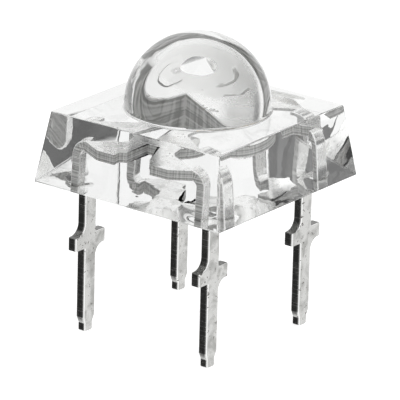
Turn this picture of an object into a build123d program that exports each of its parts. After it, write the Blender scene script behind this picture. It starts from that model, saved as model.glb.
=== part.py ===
from build123d import *
import os
from math import hypot

# Clear square light-emitting diode with a domed lens and four flat leads, in millimetres.
# The lead tips lie in the plane z = 0 and the optical axis is the Z axis.
# The wide faces of the leads look along X, and each frame half carries a row of two leads.

# Cast epoxy body
body_side = 7.62         # square underside, across flats
body_height = 2.43
body_draft = 8.57        # degrees that each side leans in towards the top
body_corner = 0.10       # rounding of the upright corners
polarity_cut = 0.75      # corner cut that marks the polarity, along each side
top_edge = 0.04          # soft edge round the top face
standoff = 5.23          # underside above the lead tips
dome_radius = 2.43
dome_collar = 0.13       # straight ring below the half ball
rim_width = 0.42         # level border of the underside round its dish
dish_depth = 0.10        # how far the cast resin sinks inside that border
dish_slope = 0.55        # run of the dish's sloping border
dish_corner = 1.2
collar_radius = 0.62     # resin that climbs each lead, where it meets the dish
collar_grip = 0.04       # gap between the collar's lower end and the lead's corners
collar_bow = 0.3         # 0.5 for a straight slope, less for a hollow one

# Lead frame, stamped from one sheet
sheet = 0.35
lead_inset = 1.27        # from each side of the body to the middle of a lead
lead_width = 0.60
bend_radius = 0.54       # outer radius of the bend inside the body
plate_top = 1.50         # top of the flat plate above the underside
ear_span = 1.58
ear_height = 0.45
ear_centre = 3.18        # middle of the ears above the tips
ear_sweep = 0.40         # wide curve from an ear into the shank, on two opposite corners
ear_nick = 0.06          # tight curve on the other two
tip_shoulder = 0.50      # where the shank starts to narrow, above the tip
tip_length = 0.28        # straight pinched end
tip_width = 0.44
tip_thickness = 0.31

# Flat plates of the two frame halves
pad_radius = 1.55        # round pad that carries the cup
neck_width = 1.90        # between the cathode's bar and its pad
neck_fillet = 0.45
frame_gap = 0.28         # between the pad and the anode's tongue
tongue_width = 2.40
notch_length = 1.45      # shallow recess in the outer edge of each bar
notch_depth = 0.32
notch_corner = 0.25

# Reflector cup, pressed down into the cathode pad
cup_mouth = 0.98         # inner radius at the top
cup_floor = 0.46         # inner radius at the floor
cup_depth = 0.50
cup_wall = 0.17
cup_base = 0.24          # thickness below the floor

# Chip and its bonds
chip_side = 0.30
chip_height = 0.20
paste_radius = 0.27
paste_height = 0.03
wire_diameter = 0.03
ball_diameter = 0.10
ball_height = 0.035
wire_rise = 0.32         # straight up from the ball before the loop turns
wire_drop = 0.22         # last stretch down to the anode's tongue
wire_bend = 0.11
foot_length = 0.12
foot_width = 0.07
foot_height = 0.02
foot_inset = 0.30        # foot's middle from the end of the tongue

lead_pitch = body_side - 2 * lead_inset
half_pitch = lead_pitch / 2
body_top = standoff + body_height
dish_side = body_side - 2 * rim_width
dish_floor = standoff + dish_depth
plate_z = standoff + plate_top
plate_bottom = plate_z - sheet
outer_face = half_pitch + sheet / 2
inner_face = half_pitch - sheet / 2
bend_start = outer_face - bend_radius
bend_foot = plate_z - bend_radius
inner_bend = bend_radius - sheet
cup_bottom = plate_z - cup_depth
chip_base = cup_bottom + paste_height
chip_top = chip_base + chip_height
tongue_end = pad_radius + frame_gap
foot_centre = tongue_end + foot_inset


def bent_lead():
    """One lead of the right-hand side, in the row y = 0, with half of the bar that joins the row."""
    with BuildPart() as lead:
        # Side view: the sheet comes along the plate, turns down and thins at the tip
        with BuildSketch(Plane.XZ):
            with BuildLine():
                Line((0, plate_z), (bend_start, plate_z))
                RadiusArc((bend_start, plate_z), (outer_face, bend_foot), bend_radius)
                Polyline(
                    (outer_face, bend_foot),
                    (outer_face, tip_shoulder),
                    (half_pitch + tip_thickness / 2, tip_length),
                    (half_pitch + tip_thickness / 2, 0),
                    (half_pitch - tip_thickness / 2, 0),
                    (half_pitch - tip_thickness / 2, tip_length),
                    (inner_face, tip_shoulder),
                    (inner_face, bend_foot),
                )
                RadiusArc((inner_face, bend_foot), (bend_start, plate_bottom), -inner_bend)
                Polyline((bend_start, plate_bottom), (0, plate_bottom), (0, plate_z))
            make_face()
        extrude(amount=ear_span / 2, both=True)
        # Front view: a plain strip with two ears and a narrowed tip
        with BuildSketch(Plane.YZ) as front:
            with BuildLine():
                Polyline(
                    (-tip_width / 2, 0),
                    (tip_width / 2, 0),
                    (tip_width / 2, tip_length),
                    (lead_width / 2, tip_shoulder),
                    (lead_width / 2, plate_z),
                    (-lead_width / 2, plate_z),
                    (-lead_width / 2, tip_shoulder),
                    (-tip_width / 2, tip_length),
                    close=True,
                )
            make_face()
            with Locations((0, ear_centre)):
                Rectangle(ear_span, ear_height)
            # The punch sweeps two of the four inner corners and leaves the other two tight
            low = ear_centre - ear_height / 2
            high = ear_centre + ear_height / 2
            side = lead_width / 2
            for corner, radius in (
                ((side, low), ear_sweep),
                ((-side, high), ear_sweep),
                ((side, high), ear_nick),
                ((-side, low), ear_nick),
            ):
                fillet(front.vertices().sort_by_distance(corner)[0], radius)
        extrude(amount=outer_face, mode=Mode.INTERSECT)
    return lead.part


def resin_collar():
    """The concave ring of resin that climbs a lead from the dish, round the Z axis."""
    grip = hypot(lead_width, sheet) / 2 + collar_grip
    with BuildPart() as ring:
        with BuildSketch(Plane.XZ):
            with BuildLine():
                Polyline((grip, standoff), (0, standoff), (0, dish_floor), (collar_radius, dish_floor))
                ThreePointArc(
                    (collar_radius, dish_floor),
                    (grip + collar_bow * (collar_radius - grip), dish_floor - collar_bow * dish_depth),
                    (grip, standoff),
                )
            make_face()
        revolve(axis=Axis.Z)
    return ring.part


def bar_notch(row):
    """The shallow recess in the outer edge of the bar in the given row."""
    edge_side = 1 if row > 0 else -1
    with BuildPart() as recess:
        with BuildSketch(Plane.XY.offset(plate_bottom)):
            with Locations((0, row + edge_side * lead_width / 2)):
                RectangleRounded(notch_length, 2 * notch_depth, notch_corner)
        extrude(amount=sheet)
    return recess.part


def stands_up(edge):
    return abs(edge.tangent_at(0).Z) > 0.5


lead = bent_lead()
collar = resin_collar()

# Cathode half: two leads, the bar between them, a neck and the pad with the pressed cup
with BuildPart() as cathode_frame:
    with Locations((0, -half_pitch, 0)):
        add(lead)
    mirror(about=Plane.YZ)
    with BuildSketch(Plane.XY.offset(plate_bottom)) as plate:
        with Locations((0, -half_pitch)):
            Rectangle(2 * bend_start, lead_width)
        with Locations((0, -half_pitch / 2)):
            Rectangle(neck_width, half_pitch)
        for side in (-1, 1):
            corner = (side * neck_width / 2, lead_width / 2 - half_pitch)
            fillet(plate.vertices().sort_by_distance(corner)[0], neck_fillet)
        Circle(pad_radius)
    extrude(amount=sheet)
    add(bar_notch(-half_pitch), mode=Mode.SUBTRACT)
    cup_drop = cup_depth + cup_base - sheet
    outer_mouth = cup_mouth + cup_wall
    outer_floor = cup_floor + cup_wall
    with BuildSketch(Plane.XY.offset(plate_bottom - cup_drop)):
        Circle(outer_floor)
    with BuildSketch(Plane.XY.offset(plate_bottom)):
        Circle(outer_mouth)
    loft()
    with BuildSketch(Plane.XY.offset(cup_bottom)):
        Circle(cup_floor)
    with BuildSketch(Plane.XY.offset(plate_z)):
        Circle(cup_mouth)
    loft(mode=Mode.SUBTRACT)
cathode_frame.part.label = "cathode_frame"

# Anode half: two leads, the bar between them and a tongue that ends clear of the pad
with BuildPart() as anode_frame:
    with Locations((0, half_pitch, 0)):
        add(lead)
    mirror(about=Plane.YZ)
    with BuildSketch(Plane.XY.offset(plate_bottom)):
        with Locations((0, half_pitch)):
            Rectangle(2 * bend_start, lead_width)
        with Locations((0, half_pitch / 2)):
            Rectangle(tongue_width, half_pitch)
        Circle(tongue_end, mode=Mode.SUBTRACT)
    extrude(amount=sheet)
    add(bar_notch(half_pitch), mode=Mode.SUBTRACT)
anode_frame.part.label = "anode_frame"

# Conductive paste under the chip
with BuildPart() as die_attach:
    with BuildSketch(Plane.XY.offset(cup_bottom)):
        Circle(paste_radius)
    extrude(amount=paste_height)
die_attach.part.label = "die_attach"

# The light-giving chip
with BuildPart() as led_chip:
    with BuildSketch(Plane.XY.offset(chip_base)):
        Rectangle(chip_side, chip_side)
    extrude(amount=chip_height)
led_chip.part.label = "led_chip"

# Gold wire: flattened ball on the chip, a loop, and a pressed foot on the anode's tongue
with BuildPart() as bond_wire:
    with BuildLine(Plane.YZ) as loop:
        FilletPolyline(
            (0, chip_top + ball_height / 2),
            (0, chip_top + ball_height + wire_rise),
            (foot_centre, plate_z + foot_height + wire_drop),
            (foot_centre, plate_z + foot_height / 2),
            radius=wire_bend,
        )
    with BuildSketch(Plane(origin=loop.line @ 0, z_dir=loop.line % 0)):
        Circle(wire_diameter / 2)
    sweep()
    with BuildSketch(Plane.XY.offset(chip_top)):
        Circle(ball_diameter / 2)
    extrude(amount=ball_height)
    with BuildSketch(Plane.XY.offset(plate_z)):
        with Locations((0, foot_centre)):
            SlotOverall(foot_length, foot_width, rotation=90)
    extrude(amount=foot_height)
bond_wire.part.label = "bond_wire"

# Clear body: drafted square block with the dome, cast round everything inside it
with BuildPart() as lens_body:
    with BuildSketch(Plane.XY.offset(standoff)):
        Rectangle(body_side, body_side)
    extrude(amount=body_height, taper=body_draft)
    uprights = lens_body.edges().filter_by(stands_up)
    marked = uprights.sort_by_distance((-body_side / 2, body_side / 2, body_top))[0]
    chamfer(marked, polarity_cut)
    fillet(lens_body.edges().filter_by(stands_up), body_corner)
    fillet(lens_body.faces().sort_by(Axis.Z)[-1].edges(), top_edge)
    with BuildSketch(Plane.XY.offset(body_top)):
        Circle(dome_radius)
    extrude(amount=dome_collar)
    with Locations((0, 0, body_top + dome_collar)):
        Sphere(dome_radius, arc_size1=0, align=(Align.CENTER, Align.CENTER, Align.MIN))
    # The underside is the free surface of the cast: dished, and drawn up round each lead
    with BuildSketch(Plane.XY.offset(standoff)):
        RectangleRounded(dish_side, dish_side, dish_corner)
    with BuildSketch(Plane.XY.offset(dish_floor)):
        RectangleRounded(dish_side - 2 * dish_slope, dish_side - 2 * dish_slope, dish_corner - dish_slope)
    loft(mode=Mode.SUBTRACT)
    with GridLocations(lead_pitch, lead_pitch, 2, 2):
        add(collar)
    for inner in (cathode_frame, anode_frame, die_attach, led_chip, bond_wire):
        add(inner.part, mode=Mode.SUBTRACT)
lens_body.part.label = "lens_body"

os.makedirs("parts", exist_ok=True)
export_step(lens_body.part, "parts/lens_body.step")
export_step(cathode_frame.part, "parts/cathode_frame.step")
export_step(anode_frame.part, "parts/anode_frame.step")
export_step(die_attach.part, "parts/die_attach.step")
export_step(led_chip.part, "parts/led_chip.step")
export_step(bond_wire.part, "parts/bond_wire.step")
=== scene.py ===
import math

import bpy
import numpy as np
from mathutils import Matrix, Vector


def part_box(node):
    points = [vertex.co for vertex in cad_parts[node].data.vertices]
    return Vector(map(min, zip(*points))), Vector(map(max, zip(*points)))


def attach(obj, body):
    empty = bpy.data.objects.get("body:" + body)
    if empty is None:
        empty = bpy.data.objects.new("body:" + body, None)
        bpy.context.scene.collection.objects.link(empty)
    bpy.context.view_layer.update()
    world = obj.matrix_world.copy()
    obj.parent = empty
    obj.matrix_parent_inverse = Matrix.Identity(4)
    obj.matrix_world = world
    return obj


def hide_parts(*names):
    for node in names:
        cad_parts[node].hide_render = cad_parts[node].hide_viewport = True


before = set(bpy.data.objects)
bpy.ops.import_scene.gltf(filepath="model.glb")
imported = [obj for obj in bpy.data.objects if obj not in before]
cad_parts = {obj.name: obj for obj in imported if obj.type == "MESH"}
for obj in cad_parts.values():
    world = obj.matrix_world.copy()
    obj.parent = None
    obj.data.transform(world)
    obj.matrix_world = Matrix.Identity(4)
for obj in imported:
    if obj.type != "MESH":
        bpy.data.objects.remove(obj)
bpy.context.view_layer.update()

mm = 0.001
creaseDegrees = 35           # edges that turn more than this stay crisp
scene = bpy.context.scene
bodyLow, bodyHigh = (np.array(corner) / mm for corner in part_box("lens_body"))
standoff = bodyLow[2]
halfBody = (bodyHigh[0] - bodyLow[0]) / 2
print("stage: frame loaded,", len(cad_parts), "nodes")


# Mesh helpers. All lengths are millimetres until makePiece.

def sine(degrees):
    return math.sin(math.radians(degrees))


def cosine(degrees):
    return math.cos(math.radians(degrees))


def arc(centre, radius, fromDegrees, toDegrees, steps):
    # Points of a circle's arc: centre + radius * (cos, sin) of evenly spaced angles
    angle = np.radians(np.linspace(fromDegrees, toDegrees, steps + 1))
    return np.stack([centre[0] + radius * np.cos(angle), centre[1] + radius * np.sin(angle)], axis=1)


def gridFaces(ringCount, around):
    # Quads between neighbouring closed rings of points
    ring = np.arange(ringCount - 1)[:, None] * around
    step = np.arange(around)[None, :]
    onward = (step + 1) % around
    corners = [ring + step, ring + onward, ring + around + onward, ring + around + step]
    return np.stack(corners, axis=-1).reshape(-1, 4)


def signedVolume(points, quads):
    # Sum over triangles of a dot (b cross c) / 6, positive when the faces look outwards
    triangles = np.concatenate([quads[:, [0, 1, 2]], quads[:, [0, 2, 3]]])
    a, b, c = (points[triangles[:, k]] for k in range(3))
    return np.einsum("ij,ij->", a, np.cross(b, c)) / 6


def loft(rings, cut=0.0, run=0.0):
    # A closed shell through rings, an array of (rings, points around, 3). Its first and last ring are
    # closed by one flat face each. cut is 1 where the punch sheared the surface, and run is the distance
    # along the cut.
    ringCount, around = rings.shape[:2]
    points = rings.reshape(-1, 3)
    quads = gridFaces(ringCount, around)
    ends = [np.arange(around)[::-1], np.arange(around) + (ringCount - 1) * around]
    if signedVolume(points - points.mean(axis=0), quads) < 0:
        quads, ends = quads[:, ::-1], [end[::-1] for end in ends]
    loops = np.concatenate([quads.ravel(), *ends])
    counts = np.concatenate([np.full(len(quads), 4), [around, around]])
    marks = [np.broadcast_to(mark, rings.shape[:2]).ravel() for mark in (cut, run)]
    return points, loops, counts, np.stack(marks, axis=1)


def makePiece(name, shells, material):
    # Joins closed shells into one mesh, with cut and run kept as point attributes
    points, loops, counts, marks = [], [], [], []
    offset = 0
    for shellPoints, shellLoops, shellCounts, shellMarks in shells:
        points.append(shellPoints)
        loops.append(shellLoops + offset)
        counts.append(shellCounts)
        marks.append(shellMarks)
        offset += len(shellPoints)
    points, loops, counts, marks = (np.concatenate(part) for part in (points, loops, counts, marks))
    mesh = bpy.data.meshes.new(name)
    mesh.vertices.add(len(points))
    mesh.vertices.foreach_set("co", (points * mm).ravel())
    mesh.loops.add(len(loops))
    mesh.loops.foreach_set("vertex_index", loops.astype(np.int32))
    mesh.polygons.add(len(counts))
    starts = np.concatenate([[0], np.cumsum(counts)[:-1]])
    mesh.polygons.foreach_set("loop_start", starts.astype(np.int32))
    mesh.update(calc_edges=True)
    for column, label in enumerate(("cutFace", "cutRun")):
        values = np.ascontiguousarray(marks[:, column], dtype=np.float32)
        mesh.attributes.new(label, "FLOAT", "POINT").data.foreach_set("value", values)
    mesh.validate()
    mesh.shade_smooth()
    mesh.set_sharp_from_angle(angle=math.radians(creaseDegrees))
    mesh.materials.append(material)
    piece = bpy.data.objects.new(name, mesh)
    scene.collection.objects.link(piece)
    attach(piece, "root")
    return piece


# Node helpers

def addNode(tree, kind, **values):
    # A node with its properties and its sockets' values set by name
    node = tree.nodes.new(kind)
    for key, value in values.items():
        if key in node.inputs:
            node.inputs[key].default_value = value
        else:
            setattr(node, key, value)
    return node


def plug(tree, value, socket):
    # Feeds a socket from another node's output, or with a number or a colour
    if isinstance(value, bpy.types.NodeSocket):
        tree.links.new(value, socket)
    elif isinstance(value, tuple):
        socket.default_value = (*value, 1)
    else:
        socket.default_value = value


def calculate(tree, operation, *values):
    # One step of arithmetic on numbers or other nodes' outputs
    node = addNode(tree, "ShaderNodeMath", operation=operation)
    for value, socket in zip(values, node.inputs):
        plug(tree, value, socket)
    return node.outputs[0]


def rampBetween(tree, source, low, high):
    # 0 below low, 1 above high, smooth between; the other way round where low is the higher one
    node = addNode(tree, "ShaderNodeMapRange", interpolation_type="SMOOTHSTEP")
    node.inputs["From Min"].default_value = low
    node.inputs["From Max"].default_value = high
    tree.links.new(source, node.inputs["Value"])
    return node.outputs["Result"]


def mixColours(tree, factor, first, second):
    # first where factor is 0 and second where it is 1
    node = addNode(tree, "ShaderNodeMix", data_type="RGBA")
    tree.links.new(factor, node.inputs["Factor"])
    plug(tree, first, node.inputs[6])
    plug(tree, second, node.inputs[7])
    return node.outputs[2]


def mixValues(tree, factor, first, second):
    # first + factor * (second - first)
    node = addNode(tree, "ShaderNodeMapRange")
    tree.links.new(factor, node.inputs["Value"])
    plug(tree, first, node.inputs["To Min"])
    plug(tree, second, node.inputs["To Max"])
    return node.outputs["Result"]


def objectAxes(tree):
    # The point's place on the piece, whole and as X, Y and Z
    coord = addNode(tree, "ShaderNodeTexCoord")
    axes = addNode(tree, "ShaderNodeSeparateXYZ")
    tree.links.new(coord.outputs["Object"], axes.inputs[0])
    return coord.outputs["Object"], axes.outputs


def newMaterial(name, **values):
    # A Principled material; values are set on the shader's own sockets, with _ for a space
    material = bpy.data.materials.new(name)
    material.use_nodes = True
    tree = material.node_tree
    tree.nodes.clear()
    output = tree.nodes.new("ShaderNodeOutputMaterial")
    shader = tree.nodes.new("ShaderNodeBsdfPrincipled")
    tree.links.new(shader.outputs["BSDF"], output.inputs["Surface"])
    for key, value in values.items():
        shader.inputs[key.replace("_", " ")].default_value = value
    return material, tree, shader


def addBump(tree, shader, height, look):
    bump = addNode(tree, "ShaderNodeBump")
    bump.inputs["Distance"].default_value = look["bumpHeight"] * mm
    bump.inputs["Strength"].default_value = look["bumpStrength"]
    tree.links.new(height, bump.inputs["Height"])
    tree.links.new(bump.outputs["Normal"], shader.inputs["Normal"])


def newGroup(name, inputs, outputs):
    # A shader node group; inputs are (name, value) pairs and outputs are names, all plain numbers
    group = bpy.data.node_groups.new(name, "ShaderNodeTree")
    for label, value in inputs:
        socket = group.interface.new_socket(name=label, in_out="INPUT", socket_type="NodeSocketFloat")
        socket.default_value = value
    for label in outputs:
        group.interface.new_socket(name=label, in_out="OUTPUT", socket_type="NodeSocketFloat")
    return group, group.nodes.new("NodeGroupInput"), group.nodes.new("NodeGroupOutput")


handling = {
    "smudgeFrom": 0.42,          # noise at which a smudge begins
    "smudgeTo": 0.66,
    "speckLevel": 0.76,          # noise at which specks begin, less speckReach times the group's Specks
    "speckReach": 0.22,
    "speckEdge": 0.06,
}


def makeHandledSurface():
    # Handled metal: broad soft smudges, and small pits and specks whose share is set by Specks
    inputs = [("Smudge Scale", 900.0), ("Speck Scale", 9000.0), ("Specks", 0.5)]
    group, enter, leave = newGroup("handledSurface", inputs, ["Smudges", "Specks", "Height"])
    coord = addNode(group, "ShaderNodeTexCoord")
    broad = addNode(group, "ShaderNodeTexNoise", Detail=4.0, Roughness=0.6, Distortion=0.6)
    fine = addNode(group, "ShaderNodeTexNoise", Detail=2.0, Roughness=0.7)
    for noise, scale in ((broad, "Smudge Scale"), (fine, "Speck Scale")):
        group.links.new(coord.outputs["Object"], noise.inputs["Vector"])
        group.links.new(enter.outputs[scale], noise.inputs["Scale"])
    smudges = rampBetween(group, broad.outputs["Fac"], handling["smudgeFrom"], handling["smudgeTo"])
    level = calculate(group, "MULTIPLY_ADD", enter.outputs["Specks"], -handling["speckReach"],
                      handling["speckLevel"])
    above = calculate(group, "SUBTRACT", fine.outputs["Fac"], level)
    specks = rampBetween(group, above, 0.0, handling["speckEdge"])
    height = calculate(group, "MULTIPLY_ADD", specks, -1.0, broad.outputs["Fac"])
    for label, value in (("Smudges", smudges), ("Specks", specks), ("Height", height)):
        group.links.new(value, leave.inputs[label])
    return group


handledSurface = makeHandledSurface()


def addHandling(tree, look):
    # The group with a material's own values
    node = tree.nodes.new("ShaderNodeGroup")
    node.node_tree = handledSurface
    node.inputs["Smudge Scale"].default_value = look["smudgeScale"]
    node.inputs["Speck Scale"].default_value = look["speckScale"]
    node.inputs["Specks"].default_value = look["specks"]
    return node.outputs


# Lens body: one clear casting, a drafted block with a half ball on its top face

lens = {
    "bodyHeight": 2.43,
    "draftDegrees": 8.57,
    "cornerRadius": 0.10,
    "topEdge": 0.04,
    "domeRadius": 2.43,
    "domeCollar": 0.13,
    "domeFillet": 0.05,
    "collarDrop": 0.07,          # resin drawn down round each lead
    "collarReach": 0.42,
    "collarGrip": 0.25,
    "rimHold": 0.35,             # the edge of the underside stays level this far in
    "poleShare": 0.004,          # the ring that closes the underside, as a share of the whole
    "poleTurn": 89.7,            # and the one that closes the dome, in degrees
    "edgeGuard": 0.02,           # a ring this far from an edge keeps its shading off the flat face
    "sideSteps": 84,
    "cornerSteps": 8,
    "edgeSteps": 4,
    "domeSteps": 72,
    "underSteps": 80,
}


def squareRing(half, radius, height):
    # Rounded square: four arcs joined by straight sides, one quarter turned three times
    along = np.linspace(0, 1, lens["sideSteps"])
    reach = half - radius
    side = np.stack([np.full_like(along, half), (2 * along - 1) * reach], axis=1)
    corner = arc((reach, reach), radius, 0, 90, lens["cornerSteps"])[1:-1]
    quarter = np.concatenate([side, corner])
    turned = [quarter]
    for _ in range(3):
        quarter = np.stack([-quarter[:, 1], quarter[:, 0]], axis=1)
        turned.append(quarter)
    outline = np.concatenate(turned)
    return np.column_stack([outline, np.full(len(outline), height)])


def roundRing(bearing, radius, height):
    # Circle about the optical axis, at the same bearings as a square ring's points
    level = np.full(len(bearing), height)
    return np.column_stack([radius * np.cos(bearing), radius * np.sin(bearing), level])


def undersideHeight(x, y):
    # Free surface of the cast: flat, and drawn down round each lead by drop * exp(-(r - grip) / reach).
    # The pull fades to nothing at the edge by h (2 - h), with h the distance from it over rimHold.
    halfPitch = halfBody - strip["leadInset"]
    fromLead = np.hypot(abs(x) - halfPitch, abs(y) - halfPitch)
    beyond = np.maximum(fromLead - lens["collarGrip"], 0)
    fromEdge = halfBody - np.maximum(abs(x), abs(y))
    held = np.clip(fromEdge / lens["rimHold"], 0, 1)
    return standoff - lens["collarDrop"] * np.exp(-beyond / lens["collarReach"]) * held * (2 - held)


def lensRings():
    # From the middle of the underside out to its edge, up the drafted walls, over the rounded top edge,
    # in across the top face to the dome's foot, and over the dome to its pole
    draft = math.tan(math.radians(lens["draftDegrees"]))
    bodyTop = standoff + lens["bodyHeight"]
    corner, edge, guard = lens["cornerRadius"], lens["topEdge"], lens["edgeGuard"]
    quarterTurn = np.radians(np.linspace(0, 90, lens["edgeSteps"] + 1))
    rings = []
    for share in np.linspace(lens["poleShare"], 1, lens["underSteps"]):
        ring = squareRing(halfBody * share, corner * share, 0)
        ring[:, 2] = undersideHeight(ring[:, 0], ring[:, 1])
        rings.append(ring)
    rings[-1][:, 2] = standoff
    topHalf = halfBody - draft * lens["bodyHeight"]
    for height in (guard, lens["bodyHeight"] - edge - guard):
        rings.append(squareRing(halfBody - draft * height, corner, standoff + height))
    for turn in quarterTurn:
        inset = edge * (1 - math.cos(turn))
        rings.append(squareRing(topHalf - inset, corner, bodyTop - edge * (1 - math.sin(turn))))
    inner = squareRing(topHalf - edge - guard, corner, bodyTop)
    rings.append(inner)
    bearing = np.arctan2(inner[:, 1], inner[:, 0])
    radius, fillet = lens["domeRadius"], lens["domeFillet"]
    foot = roundRing(bearing, radius + fillet + guard, bodyTop)
    rings += [inner + (foot - inner) * share for share in (0.5, 1.0)]
    for turn in quarterTurn:
        out = fillet * (1 - math.sin(turn))
        rings.append(roundRing(bearing, radius + out, bodyTop + fillet * (1 - math.cos(turn))))
    domeBase = bodyTop + lens["domeCollar"]
    for turn in np.radians(np.linspace(0, lens["poleTurn"], lens["domeSteps"])):
        rings.append(roundRing(bearing, radius * math.cos(turn), domeBase + radius * math.sin(turn)))
    return np.array(rings)


# Lead frame: two stamped and bent halves of one plated sheet

strip = {
    "thickness": 0.35,
    "width": 0.60,
    "leadInset": 1.27,
    "bendRadius": 0.54,
    "plateTop": 1.50,            # above the body's underside
    "earSpan": 1.58,
    "earHeight": 0.45,
    "earCentre": 3.18,
    "earSweep": 0.40,
    "earNick": 0.06,
    "earRound": 0.03,
    "shankRing": 4.4,            # a ring of points here parts the ears' shading from the bend's
    "tipShoulder": 0.50,
    "tipLength": 0.28,
    "tipWidth": 0.44,
    "tipThickness": 0.31,
    "edgeRound": 0.08,           # rolled edges left by the punch
    "edgeGuard": 0.01,           # points this far past a rolled edge keep its shading off the flat face
    "plateRound": 0.02,
    "plateGuard": 0.02,
    "padRadius": 1.55,
    "padRound": 0.03,
    "padInlet": 0.1,             # the neck reaches this far into the pad
    "neckWidth": 1.90,
    "neckFillet": 0.45,
    "frameGap": 0.28,
    "tongueWidth": 2.26,
    "barOuter": 3.38,            # between the leads each bar lies further out than they do
    "outerSlant": 1.45,          # its outer edge slants from here to the leads
    "slotEdge": 2.12,            # and a slot with one slanted side parts it from each lead
    "slotTip": (2.07, 2.64),
    "slotFoot": 2.07,
    "notchLength": 1.45,
    "notchDepth": 0.50,
    "notchCorner": 0.25,
    "cupMouth": 0.98,
    "cupFloor": 0.46,
    "cupDepth": 0.50,
    "cupWall": 0.17,
    "cupBase": 0.24,
    "cupRound": 0.02,
    "padSteps": 128,
    "poleRadius": 0.004,         # the ring that closes the pad above and below
    "skin": 0.003,               # a plate lies this much inside the bends that it runs into
    "tuck": 0.045,               # and reaches this far into them
}
halfPitch = halfBody - strip["leadInset"]
plateZ = standoff + strip["plateTop"]
bendStart = halfPitch + strip["thickness"] / 2 - strip["bendRadius"]


def leadOutline():
    # Half widths of the strip towards -Y and +Y at each height, from the tip up: pinched tip, shank, and
    # the ears with a wide sweep above the near ear and below the far one
    half, ear, tip = strip["width"] / 2, strip["earSpan"] / 2, strip["tipWidth"] / 2
    low = strip["earCentre"] - strip["earHeight"] / 2
    high = strip["earCentre"] + strip["earHeight"] / 2
    sweep, nick, soft = strip["earSweep"], strip["earNick"], strip["earRound"]

    def side(below, above):
        # Rows of (height, half width), with the given radii below and above the ear
        rows = [(0, tip - soft), (soft, tip), (strip["tipLength"], tip), (strip["tipShoulder"], half)]
        rows += [(z, y) for y, z in arc((half + below, low - below), below, 180, 90, 8)]
        rows += [(z, y) for y, z in arc((ear - soft, low + soft), soft, 270, 360, 4)]
        rows += [(z, y) for y, z in arc((ear - soft, high - soft), soft, 0, 90, 4)]
        rows += [(z, y) for y, z in arc((half + above, high + above), above, 270, 180, 8)]
        return np.array(rows)

    return side(nick, sweep), side(sweep, nick)


def widthAt(rows, heights):
    # Width at each height; at a level step the rows are set a hair apart, so that both its ends are kept
    return np.interp(heights, rows[:, 0] + np.arange(len(rows)) * 1e-6, rows[:, 1])


def stripRings(stations, near, far, halfThickness):
    # Rounded rectangle at each station: station = (x, z, normal x, normal z) of the centre line, with the
    # strip's reach towards -Y and +Y and its half thickness there. Corner = inner corner + r (cos, sin),
    # with a guard point past each end of its arc. Also how much each point faces Y, |sin|^3.
    r = np.minimum(strip["edgeRound"], np.minimum(halfThickness, near) * 0.9)[:, None]
    quarter = np.array([0, 0, 22.5, 45, 67.5, 90, 90])
    turn = np.radians(np.concatenate([quarter + start for start in (0, 90, 180, 270)]))[None, :]
    guard = np.tile([-1, 0, 0, 0, 0, 0, 1], 4)[None, :] * strip["edgeGuard"]
    signN = np.repeat([1, -1, -1, 1], len(quarter))[None, :]
    signY = np.repeat([1, 1, -1, -1], len(quarter))[None, :]
    reachY = np.where(signY > 0, far[:, None], near[:, None])
    offsetN = signN * (halfThickness[:, None] - r) + r * np.cos(turn) - guard * np.sin(turn)
    offsetY = signY * (reachY - r) + r * np.sin(turn) + guard * np.cos(turn)
    x = stations[:, 0:1] + offsetN * stations[:, 2:3]
    z = stations[:, 1:2] + offsetN * stations[:, 3:4]
    return np.stack([x, offsetY, z], axis=-1), np.abs(np.sin(turn)) ** 3


def leadShell(towards, row):
    # One lead: the strip's section carried up a straight line and round a quarter circle. It stands on
    # the given side (+1 or -1 along X) in the given row (middle at Y = row).
    nearRows, farRows = leadOutline()
    half = strip["thickness"] / 2
    middleRadius = strip["bendRadius"] - half
    bendZ = plateZ - strip["bendRadius"]
    heights = np.unique(np.round(np.concatenate([nearRows[:, 0], farRows[:, 0]]), 5))
    heights = np.unique(np.concatenate([heights, heights + 2e-4, [strip["shankRing"], bendZ]]))
    heights = heights[heights <= bendZ]
    near = widthAt(nearRows, heights)
    far = widthAt(farRows, heights)
    pinchedHalf = strip["tipThickness"] / 2
    pinched = np.interp(heights, [strip["tipLength"], strip["tipShoulder"]], [pinchedHalf, half])
    straight = np.column_stack([np.full_like(heights, halfPitch), heights,
                                np.ones_like(heights), np.zeros_like(heights)])
    turn = np.radians(np.linspace(0, 90, 13))[1:]
    bend = np.column_stack([bendStart + middleRadius * np.cos(turn), bendZ + middleRadius * np.sin(turn),
                            np.cos(turn), np.sin(turn)])
    stations = np.concatenate([straight, bend])
    near = np.concatenate([near, np.full(len(bend), strip["width"] / 2)])
    far = np.concatenate([far, np.full(len(bend), strip["width"] / 2)])
    thick = np.concatenate([pinched, np.full(len(bend), half)])
    run = np.concatenate([heights, bendZ + middleRadius * turn])[:, None]
    rings, cut = stripRings(stations, near, far, thick)
    rings[..., 0] *= towards
    rings[..., 1] += row
    return loft(rings, cut, run)


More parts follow.
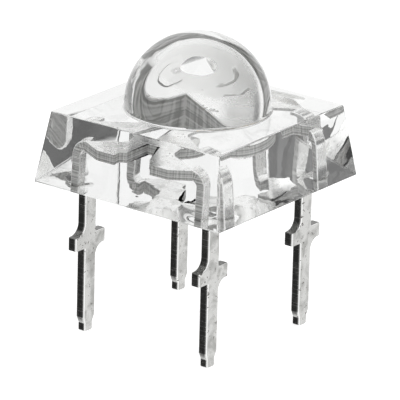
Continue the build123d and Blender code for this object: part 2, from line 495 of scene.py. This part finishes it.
def plateShell(halfOutline, top):
    # A flat plate: its rolled edge profile is carried round the outline. The outline's half with X > 0,
    # anticlockwise, is mirrored in X. Inset = r (1 - cos), height = +-(half - r) + r sin, then a last
    # step straight inwards that keeps the edge's shading off the flat faces.
    outline = np.concatenate([halfOutline, halfOutline[::-1] * np.array([-1, 1])])
    ahead = np.roll(outline, -1, axis=0) - outline
    ahead /= np.linalg.norm(ahead, axis=1, keepdims=True)
    tangent = ahead + np.roll(ahead, 1, axis=0)
    tangent /= (1 + np.sum(ahead * np.roll(ahead, 1, axis=0), axis=1))[:, None]
    inward = np.stack([-tangent[:, 1], tangent[:, 0]], axis=1)
    r, half = strip["plateRound"], strip["thickness"] / 2 - strip["skin"]
    turn = np.radians(np.array([-90, -90, -68, -45, -22, -0.1, 0.1, 22, 45, 68, 90, 90]))
    inset = r * (1 - np.cos(turn)) + np.array([1] + [0] * 10 + [1]) * strip["plateGuard"]
    height = np.sign(turn) * (half - r) + r * np.sin(turn)
    ringPoints = outline[None] + inset[:, None, None] * inward[None]
    levels = np.broadcast_to((top - half + height)[:, None, None], ringPoints.shape[:2] + (1,))
    run = np.concatenate([[0], np.cumsum(np.linalg.norm(np.diff(outline, axis=0), axis=1))])
    rings = np.concatenate([ringPoints, levels], axis=-1)
    return loft(rings, np.cos(turn)[:, None] ** 3, run[None, :])


def notchPoints():
    # Half of the recess in a bar's outer edge, from the middle outwards; y is measured from that edge
    half, depth, r = strip["notchLength"] / 2, strip["notchDepth"], strip["notchCorner"]
    corner = arc((half - r, depth - r), r, 90, 0, 6)
    return np.concatenate([[(0.0, depth)], corner, [(half, 0.0)]])


def barEnd():
    # A bar's end, from its outer edge along the slant, round the part that runs into a lead, to the slot
    end, half = bendStart + strip["tuck"], strip["width"] / 2 - strip["skin"]
    return np.array([(strip["outerSlant"], strip["barOuter"]), (end, halfPitch + half),
                     (end, halfPitch - half), (strip["slotEdge"], halfPitch - half), strip["slotTip"]])


def cathodePlate():
    # Bar between the two leads, with the recess, and the filleted neck that runs into the pad
    recess = notchPoints() - np.array([0, strip["barOuter"]])
    neck, r = strip["neckWidth"] / 2, strip["neckFillet"]
    fillet = arc((neck + r, r - strip["slotFoot"]), r, 250, 180, 8)
    within = strip["padRadius"] - strip["padInlet"]
    bearing = np.linspace(math.asin(neck / within), 0, 8)
    inPad = within * np.stack([np.sin(bearing), -np.cos(bearing)], axis=1)
    inPad[-1, 0] = 0
    halfOutline = np.concatenate([recess, barEnd() * np.array([1, -1]), fillet, inPad])
    return plateShell(halfOutline, plateZ - strip["skin"])


def anodePlate():
    # Bar between the two leads, with the recess, and the wide tongue cut concentric with the pad
    tongue, radius = strip["tongueWidth"] / 2, strip["padRadius"] + strip["frameGap"]
    bearing = np.linspace(0, math.asin(tongue / radius), 16)
    hollow = radius * np.stack([np.sin(bearing), np.cos(bearing)], axis=1)
    side = np.concatenate([[(tongue, strip["slotFoot"])], barEnd()[::-1]])
    recess = (notchPoints() * np.array([1, -1]) + np.array([0, strip["barOuter"]]))[::-1]
    return plateShell(np.concatenate([hollow, side, recess]), plateZ - strip["skin"])


def padShell():
    # Round pad with the pressed cup: one profile of (radius, height) turned about the optical axis
    under = plateZ - strip["thickness"]
    floor = plateZ - strip["cupDepth"]
    base = floor - strip["cupBase"]
    rim, r, pole = strip["padRadius"] - strip["padRound"], strip["padRound"], strip["poleRadius"]
    baseRadius, soft = strip["cupFloor"] + strip["cupWall"], strip["cupRound"]
    profile = [(pole, base), (baseRadius - r, base), (baseRadius, base + r),
               (strip["cupMouth"] + strip["cupWall"], under), (rim, under)]
    profile += [tuple(p) for p in arc((rim, under + r), r, 270, 360, 4)]
    rimStart = len(profile)
    profile += [tuple(p) for p in arc((rim, plateZ - r), r, 0, 90, 4)]
    rimEnd = len(profile)
    profile += [tuple(p) for p in arc((strip["cupMouth"] + r, plateZ - r), r, 90, 150, 4)]
    profile += [(strip["cupFloor"] + soft, floor + soft), (strip["cupFloor"] - soft, floor), (pole, floor)]
    profile = np.array(profile)
    bearing = np.linspace(0, 2 * math.pi, strip["padSteps"], endpoint=False)
    radius, height = profile[:, None, 0], profile[:, None, 1]
    rings = np.stack([radius * np.cos(bearing), radius * np.sin(bearing),
                      np.repeat(height, len(bearing), axis=1)], axis=-1)
    cut = np.zeros((len(profile), 1))
    cut[rimStart - 2:rimEnd - 2] = 1
    return loft(rings, cut, strip["padRadius"] * bearing[None, :])


# Materials. Lengths in the dictionaries are millimetres, and noise scales are per metre.

def clearEpoxyMaterial():
    # Cast epoxy: clear, with a faint unevenness left by the mould, stronger on the free surface below
    look = {
        "tint": (0.985, 0.99, 0.985, 1),
        "index": 1.50,
        "waveScale": 420.0,
        "rippleScale": 1900.0,
        "rippleShare": 0.16,
        "freeSurface": 3.0,          # how many times stronger the unevenness is below
        "freeFrom": 0.04,            # fading in between these heights above the underside
        "freeTo": 0.01,
        "bumpHeight": 0.006,
        "bumpStrength": 1.0,
    }
    material, tree, shader = newMaterial("clearEpoxy", Base_Color=look["tint"], Roughness=0.0,
                                         IOR=look["index"], Transmission_Weight=1.0)
    place, axes = objectAxes(tree)
    wave = addNode(tree, "ShaderNodeTexNoise", Scale=look["waveScale"], Detail=1.0, Roughness=0.4)
    ripple = addNode(tree, "ShaderNodeTexNoise", Scale=look["rippleScale"], Detail=1.0, Roughness=0.4)
    for noise in (wave, ripple):
        tree.links.new(place, noise.inputs["Vector"])
    height = calculate(tree, "MULTIPLY_ADD", ripple.outputs["Fac"], look["rippleShare"], wave.outputs["Fac"])
    under = rampBetween(tree, axes["Z"], (standoff + look["freeFrom"]) * mm, (standoff + look["freeTo"]) * mm)
    uneven = calculate(tree, "MULTIPLY", height, mixValues(tree, under, 1.0, look["freeSurface"]))
    addBump(tree, shader, uneven, look)
    return material


def platedMaterial():
    # Bright plating, clean inside the epoxy and handled outside it. The faces that the punch sheared are
    # dark outside, from their rough shear and from painted shade, and matt inside, with marks across and
    # along them. Outside, a painted highlight runs as a bright line along each rolled edge, and the slopes
    # of the pinched tips are bright.
    look = {
        "clean": (0.98, 0.98, 0.975),
        "cleanShade": (0.92, 0.92, 0.91),
        "handled": (0.70, 0.70, 0.685),
        "smudge": (0.47, 0.47, 0.455),
        "speck": (0.18, 0.17, 0.16),
        # painted highlight: a bright line along each rolled edge outside the epoxy
        "paintedEdgeHighlight": (0.97, 0.97, 0.96),
        # dark sheared faces outside the epoxy: their rough shear, darkened further as painted shade
        "shearedAndShade": (0.15, 0.15, 0.145),
        "shearedMark": (0.34, 0.34, 0.335),
        "shearedClean": (0.92, 0.92, 0.91),
        "cleanMark": (0.42, 0.42, 0.41),
        "roughness": 0.20,
        "smudgeRoughness": 0.36,
        "shearedRoughness": 0.55,
        "shearedShine": 0.25,        # Metallic of the sheared faces inside the epoxy
        "smudgeScale": 1900.0,
        "speckScale": 7200.0,
        "specks": 0.60,
        "cleanSpecks": 0.5,          # share of the specks that is left inside the epoxy
        "runScale": 12.0,            # marks along the cut, per millimetre
        "runShare": 0.6,
        "levelScale": 19000.0,       # marks across the sheet's thickness
        "outerMarks": (0.90, 1.02),  # noise between which a mark fades in
        "innerMarks": (0.66, 0.94),
        "edgeHighlightFrom": (0.02, 0.12), # share of cut between which each zone of an edge fades in
        "shearFrom": (0.45, 0.70),
        "tipLow": 0.27,
        "tipHigh": 0.50,
        "tipBlend": 0.02,
        "epoxyBlend": 0.1,
        "bumpHeight": 0.006,
        "bumpStrength": 0.5,
    }
    material, tree, shader = newMaterial("platedStrip")
    surface = addHandling(tree, look)
    cut = addNode(tree, "ShaderNodeAttribute", attribute_name="cutFace").outputs["Fac"]
    run = addNode(tree, "ShaderNodeAttribute", attribute_name="cutRun").outputs["Fac"]
    height = objectAxes(tree)[1]["Z"]
    along = addNode(tree, "ShaderNodeTexNoise", noise_dimensions="1D", Scale=look["runScale"], Detail=3.0,
                    Roughness=0.75)
    across = addNode(tree, "ShaderNodeTexNoise", noise_dimensions="1D", Scale=look["levelScale"],
                     Detail=2.0, Roughness=0.6)
    tree.links.new(run, along.inputs["W"])
    tree.links.new(height, across.inputs["W"])
    marks = calculate(tree, "MULTIPLY_ADD", along.outputs["Fac"], look["runShare"], across.outputs["Fac"])

    def heightRamp(low, high):
        return rampBetween(tree, height, low * mm, high * mm)

    inside = heightRamp(standoff - look["epoxyBlend"], standoff + look["epoxyBlend"])
    onTip = calculate(tree, "MULTIPLY",
                      heightRamp(look["tipLow"] - look["tipBlend"], look["tipLow"] + look["tipBlend"]),
                      heightRamp(look["tipHigh"] + look["tipBlend"], look["tipHigh"] - look["tipBlend"]))
    smudges = surface["Smudges"]
    outerFace = mixColours(tree, smudges, look["handled"], look["smudge"])
    innerFace = mixColours(tree, smudges, look["clean"], look["cleanShade"])
    face = mixColours(tree, inside, outerFace, innerFace)
    # painted highlight along the rolled edges, outside the epoxy only
    edgeHighlight = mixColours(tree, inside, look["paintedEdgeHighlight"], face)
    # outside, the sheared faces are dark from their rough shear and from painted shade, with lighter marks
    outerCut = mixColours(tree, rampBetween(tree, marks, *look["outerMarks"]), look["shearedAndShade"],
                          look["shearedMark"])
    outerCut = mixColours(tree, onTip, outerCut, look["handled"])
    innerCut = mixColours(tree, rampBetween(tree, marks, *look["innerMarks"]), look["shearedClean"],
                          look["cleanMark"])
    cutColour = mixColours(tree, inside, outerCut, innerCut)
    colour = mixColours(tree, rampBetween(tree, cut, *look["edgeHighlightFrom"]), face, edgeHighlight)
    colour = mixColours(tree, rampBetween(tree, cut, *look["shearFrom"]), colour, cutColour)
    specks = calculate(tree, "MULTIPLY", surface["Specks"], mixValues(tree, inside, 1.0, look["cleanSpecks"]))
    tree.links.new(mixColours(tree, specks, colour, look["speck"]), shader.inputs["Base Color"])
    matt = calculate(tree, "MULTIPLY", cut, inside)
    polish = mixValues(tree, smudges, look["roughness"], look["smudgeRoughness"])
    tree.links.new(mixValues(tree, matt, polish, look["shearedRoughness"]), shader.inputs["Roughness"])
    tree.links.new(mixValues(tree, matt, 1.0, look["shearedShine"]), shader.inputs["Metallic"])
    addBump(tree, shader, surface["Height"], look)
    return material


def pasteMaterial():
    # Silver-filled paste: grey, matt and grainy
    look = {
        "light": (0.62, 0.62, 0.60),
        "dark": (0.34, 0.34, 0.33),
        "smudgeScale": 9000.0,
        "speckScale": 26000.0,
        "specks": 1.0,
        "bumpHeight": 0.004,
        "bumpStrength": 0.8,
    }
    material, tree, shader = newMaterial("silverPaste", Metallic=0.6, Roughness=0.55)
    surface = addHandling(tree, look)
    tree.links.new(mixColours(tree, surface["Smudges"], look["light"], look["dark"]),
                   shader.inputs["Base Color"])
    addBump(tree, shader, surface["Height"], look)
    return material


def chipMaterial():
    # Semiconductor: dark violet-grey sides and top, with a gold contact pad and its four fingers on top
    look = {
        "bulk": (0.12, 0.10, 0.13),
        "sheen": (0.20, 0.17, 0.16),
        "contact": (0.85, 0.62, 0.28),
        "padRadius": 0.055,
        "finger": 0.012,
        "fingerReach": 0.12,
        "contactDepth": 0.004,
        "smudgeScale": 7000.0,
        "speckScale": 30000.0,
        "specks": 0.3,
    }
    material, tree, shader = newMaterial("chipDie", Roughness=0.18, IOR=2.4)
    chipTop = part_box("led_chip")[1][2]
    axes = objectAxes(tree)[1]
    absX = calculate(tree, "ABSOLUTE", axes["X"])
    absY = calculate(tree, "ABSOLUTE", axes["Y"])
    far, near = calculate(tree, "MAXIMUM", absX, absY), calculate(tree, "MINIMUM", absX, absY)
    squared = [calculate(tree, "MULTIPLY", side, side) for side in (absX, absY)]
    radius = calculate(tree, "SQRT", calculate(tree, "ADD", *squared))
    pad = calculate(tree, "LESS_THAN", radius, look["padRadius"] * mm)
    finger = calculate(tree, "MULTIPLY", calculate(tree, "LESS_THAN", near, look["finger"] * mm),
                       calculate(tree, "LESS_THAN", far, look["fingerReach"] * mm))
    onTop = calculate(tree, "GREATER_THAN", axes["Z"], chipTop - look["contactDepth"] * mm)
    contact = calculate(tree, "MULTIPLY", calculate(tree, "MAXIMUM", pad, finger), onTop)
    surface = addHandling(tree, look)
    bulk = mixColours(tree, surface["Smudges"], look["bulk"], look["sheen"])
    tree.links.new(mixColours(tree, contact, bulk, look["contact"]), shader.inputs["Base Color"])
    tree.links.new(contact, shader.inputs["Metallic"])
    return material


def goldMaterial():
    # Drawn gold wire, a little duller in soft patches at random
    look = {
        "gold": (0.95, 0.68, 0.30),
        "shade": (0.72, 0.48, 0.20),
        "smudgeScale": 12000.0,
        "speckScale": 40000.0,
        "specks": 0.3,
        "bumpHeight": 0.002,
        "bumpStrength": 0.5,
    }
    material, tree, shader = newMaterial("goldWire", Metallic=1.0, Roughness=0.22)
    surface = addHandling(tree, look)
    tree.links.new(mixColours(tree, surface["Smudges"], look["gold"], look["shade"]),
                   shader.inputs["Base Color"])
    addBump(tree, shader, surface["Height"], look)
    return material


clearEpoxy = clearEpoxyMaterial()
platedStrip = platedMaterial()
print("stage: materials")


# Pieces

lensPiece = makePiece("clear_lens", [loft(lensRings())], clearEpoxy)
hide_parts("lens_body")
print("stage: lens", len(lensPiece.data.polygons), "faces")

cathodeShells = [leadShell(1, -halfPitch), leadShell(-1, -halfPitch), cathodePlate(), padShell()]
cathodePiece = makePiece("cathode_strip", cathodeShells, platedStrip)
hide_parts("cathode_frame")
anodeShells = [leadShell(1, halfPitch), leadShell(-1, halfPitch), anodePlate()]
anodePiece = makePiece("anode_strip", anodeShells, platedStrip)
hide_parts("anode_frame")
print("stage: lead frame")

carried = {"die_attach": pasteMaterial(), "led_chip": chipMaterial(), "bond_wire": goldMaterial()}
for node, material in carried.items():
    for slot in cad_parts[node].material_slots:
        slot.material = material
print("stage: chip and wire")


# Floor, light and camera

camera = {
    "azimuth": 36.732,
    "elevation": 19.685,
    "roll": 1.469,
    "distance": 172.78,
    "focalLength": 472.45,
    "sensorWidth": 36,
    "aim": (0.265, -0.111, 4.536),
}

studio = {
    "floorSize": 400.0,
    "floorGlow": 0.62,           # share of the floor's white that no shadow touches, seen by the camera
    "floorColour": 0.80,
    "surround": 0.96,            # white surround, as metal and glass see it
    # Grey flags: bearing in degrees from +Y towards +X, half width, lower and upper edge, brightness
    "flags": ((226.0, 30.0, -45.0, 42.0, 0.13), (28.0, 46.0, 9.0, 40.0, 0.13)),
    "flagEdge": 6.0,
    "worldForFloor": 0.75,
    "lampPower": 0.02,
    "lampSize": 90.0,
    "lampDistance": 160.0,
    "lampTowards": (-0.45, -0.35, 0.82),
    "bounces": 32,               # a ray crosses the block and its plates many times
    "metalBounces": 12,
}


def placeCamera():
    # Looks at the aim point from the given azimuth and elevation, then rolls about the line of sight
    az, el, roll = (math.radians(camera[key]) for key in ("azimuth", "elevation", "roll"))
    back = Vector((math.sin(az) * math.cos(el), -math.cos(az) * math.cos(el), math.sin(el)))
    right = Vector((math.cos(az), math.sin(az), 0))
    up = back.cross(right)
    right, up = (right * math.cos(roll) + up * math.sin(roll), up * math.cos(roll) - right * math.sin(roll))
    data = bpy.data.cameras.new("camera")
    data.sensor_width = camera["sensorWidth"]
    data.lens = camera["focalLength"]
    data.clip_start = 0.001
    eye = bpy.data.objects.new("camera", data)
    scene.collection.objects.link(eye)
    turned = Matrix((right, up, back)).transposed().to_4x4()
    eye.matrix_world = Matrix.Translation((Vector(camera["aim"]) + back * camera["distance"]) * mm) @ turned
    scene.camera = eye


def buildWorld():
    # White surround with grey flags at both sides. The camera sees plain white.
    world = bpy.data.worlds.new("studio")
    scene.world = world
    world.use_nodes = True
    tree = world.node_tree
    tree.nodes.clear()
    direction = addNode(tree, "ShaderNodeTexCoord").outputs["Generated"]
    path = addNode(tree, "ShaderNodeLightPath")
    axes = addNode(tree, "ShaderNodeSeparateXYZ")
    tree.links.new(direction, axes.inputs[0])
    level = addNode(tree, "ShaderNodeVectorMath", operation="MULTIPLY")
    level.inputs[1].default_value = (1, 1, 0)
    tree.links.new(direction, level.inputs[0])
    flat = addNode(tree, "ShaderNodeVectorMath", operation="NORMALIZE")
    tree.links.new(level.outputs[0], flat.inputs[0])
    soft = studio["flagEdge"] / 2
    seen = (studio["surround"],) * 3
    for bearing, half, low, high, tone in studio["flags"]:
        towards = addNode(tree, "ShaderNodeVectorMath", operation="DOT_PRODUCT")
        towards.inputs[1].default_value = (sine(bearing), cosine(bearing), 0)
        tree.links.new(flat.outputs[0], towards.inputs[0])
        across = rampBetween(tree, towards.outputs["Value"], cosine(half + soft), cosine(half - soft))
        above = rampBetween(tree, axes.outputs["Z"], sine(low - soft), sine(low + soft))
        below = rampBetween(tree, axes.outputs["Z"], sine(high + soft), sine(high - soft))
        flag = calculate(tree, "MULTIPLY", across, calculate(tree, "MULTIPLY", above, below))
        seen = mixColours(tree, flag, seen, (tone,) * 3)
    lit = mixColours(tree, path.outputs["Is Diffuse Ray"], seen, (studio["worldForFloor"],) * 3)
    shown = mixColours(tree, path.outputs["Is Camera Ray"], lit, (1.0, 1.0, 1.0))
    background = addNode(tree, "ShaderNodeBackground")
    output = addNode(tree, "ShaderNodeOutputWorld")
    tree.links.new(shown, background.inputs["Color"])
    tree.links.new(background.outputs[0], output.inputs["Surface"])


def buildFloor():
    # Pale level floor at the lead tips. It glows for the camera and keeps a soft shadow; metal and glass
    # see the white surround in its place.
    half = studio["floorSize"] / 2 * mm
    corners = [(-half, -half, 0), (half, -half, 0), (half, half, 0), (-half, half, 0)]
    mesh = bpy.data.meshes.new("floor")
    mesh.from_pydata(corners, [], [(0, 1, 2, 3)])
    floor = bpy.data.objects.new("floor", mesh)
    scene.collection.objects.link(floor)
    floor.visible_glossy = False
    floor.visible_transmission = False
    material = bpy.data.materials.new("paleFloor")
    material.use_nodes = True
    tree = material.node_tree
    tree.nodes.clear()
    output = addNode(tree, "ShaderNodeOutputMaterial")
    diffuse = addNode(tree, "ShaderNodeBsdfDiffuse", Color=(studio["floorColour"],) * 3 + (1,))
    glow = addNode(tree, "ShaderNodeEmission")
    path = addNode(tree, "ShaderNodeLightPath")
    both = addNode(tree, "ShaderNodeAddShader")
    strength = calculate(tree, "MULTIPLY", path.outputs["Is Camera Ray"], studio["floorGlow"])
    tree.links.new(strength, glow.inputs["Strength"])
    tree.links.new(diffuse.outputs[0], both.inputs[0])
    tree.links.new(glow.outputs[0], both.inputs[1])
    tree.links.new(both.outputs[0], output.inputs["Surface"])
    mesh.materials.append(material)


def placeLamp():
    # One large soft lamp, high on the left behind the camera
    data = bpy.data.lights.new("softLamp", "AREA")
    data.size = studio["lampSize"] * mm
    data.energy = studio["lampPower"]
    lamp = bpy.data.objects.new("softLamp", data)
    scene.collection.objects.link(lamp)
    towards = Vector(studio["lampTowards"]).normalized()
    lamp.location = towards * studio["lampDistance"] * mm
    lamp.rotation_euler = towards.to_track_quat("Z", "Y").to_euler()


placeCamera()
buildWorld()
buildFloor()
placeLamp()
scene.cycles.max_bounces = studio["bounces"]
scene.cycles.transmission_bounces = studio["bounces"]
scene.cycles.glossy_bounces = studio["metalBounces"]
scene.view_settings.view_transform = "Standard"
print("stage: camera, floor and light")
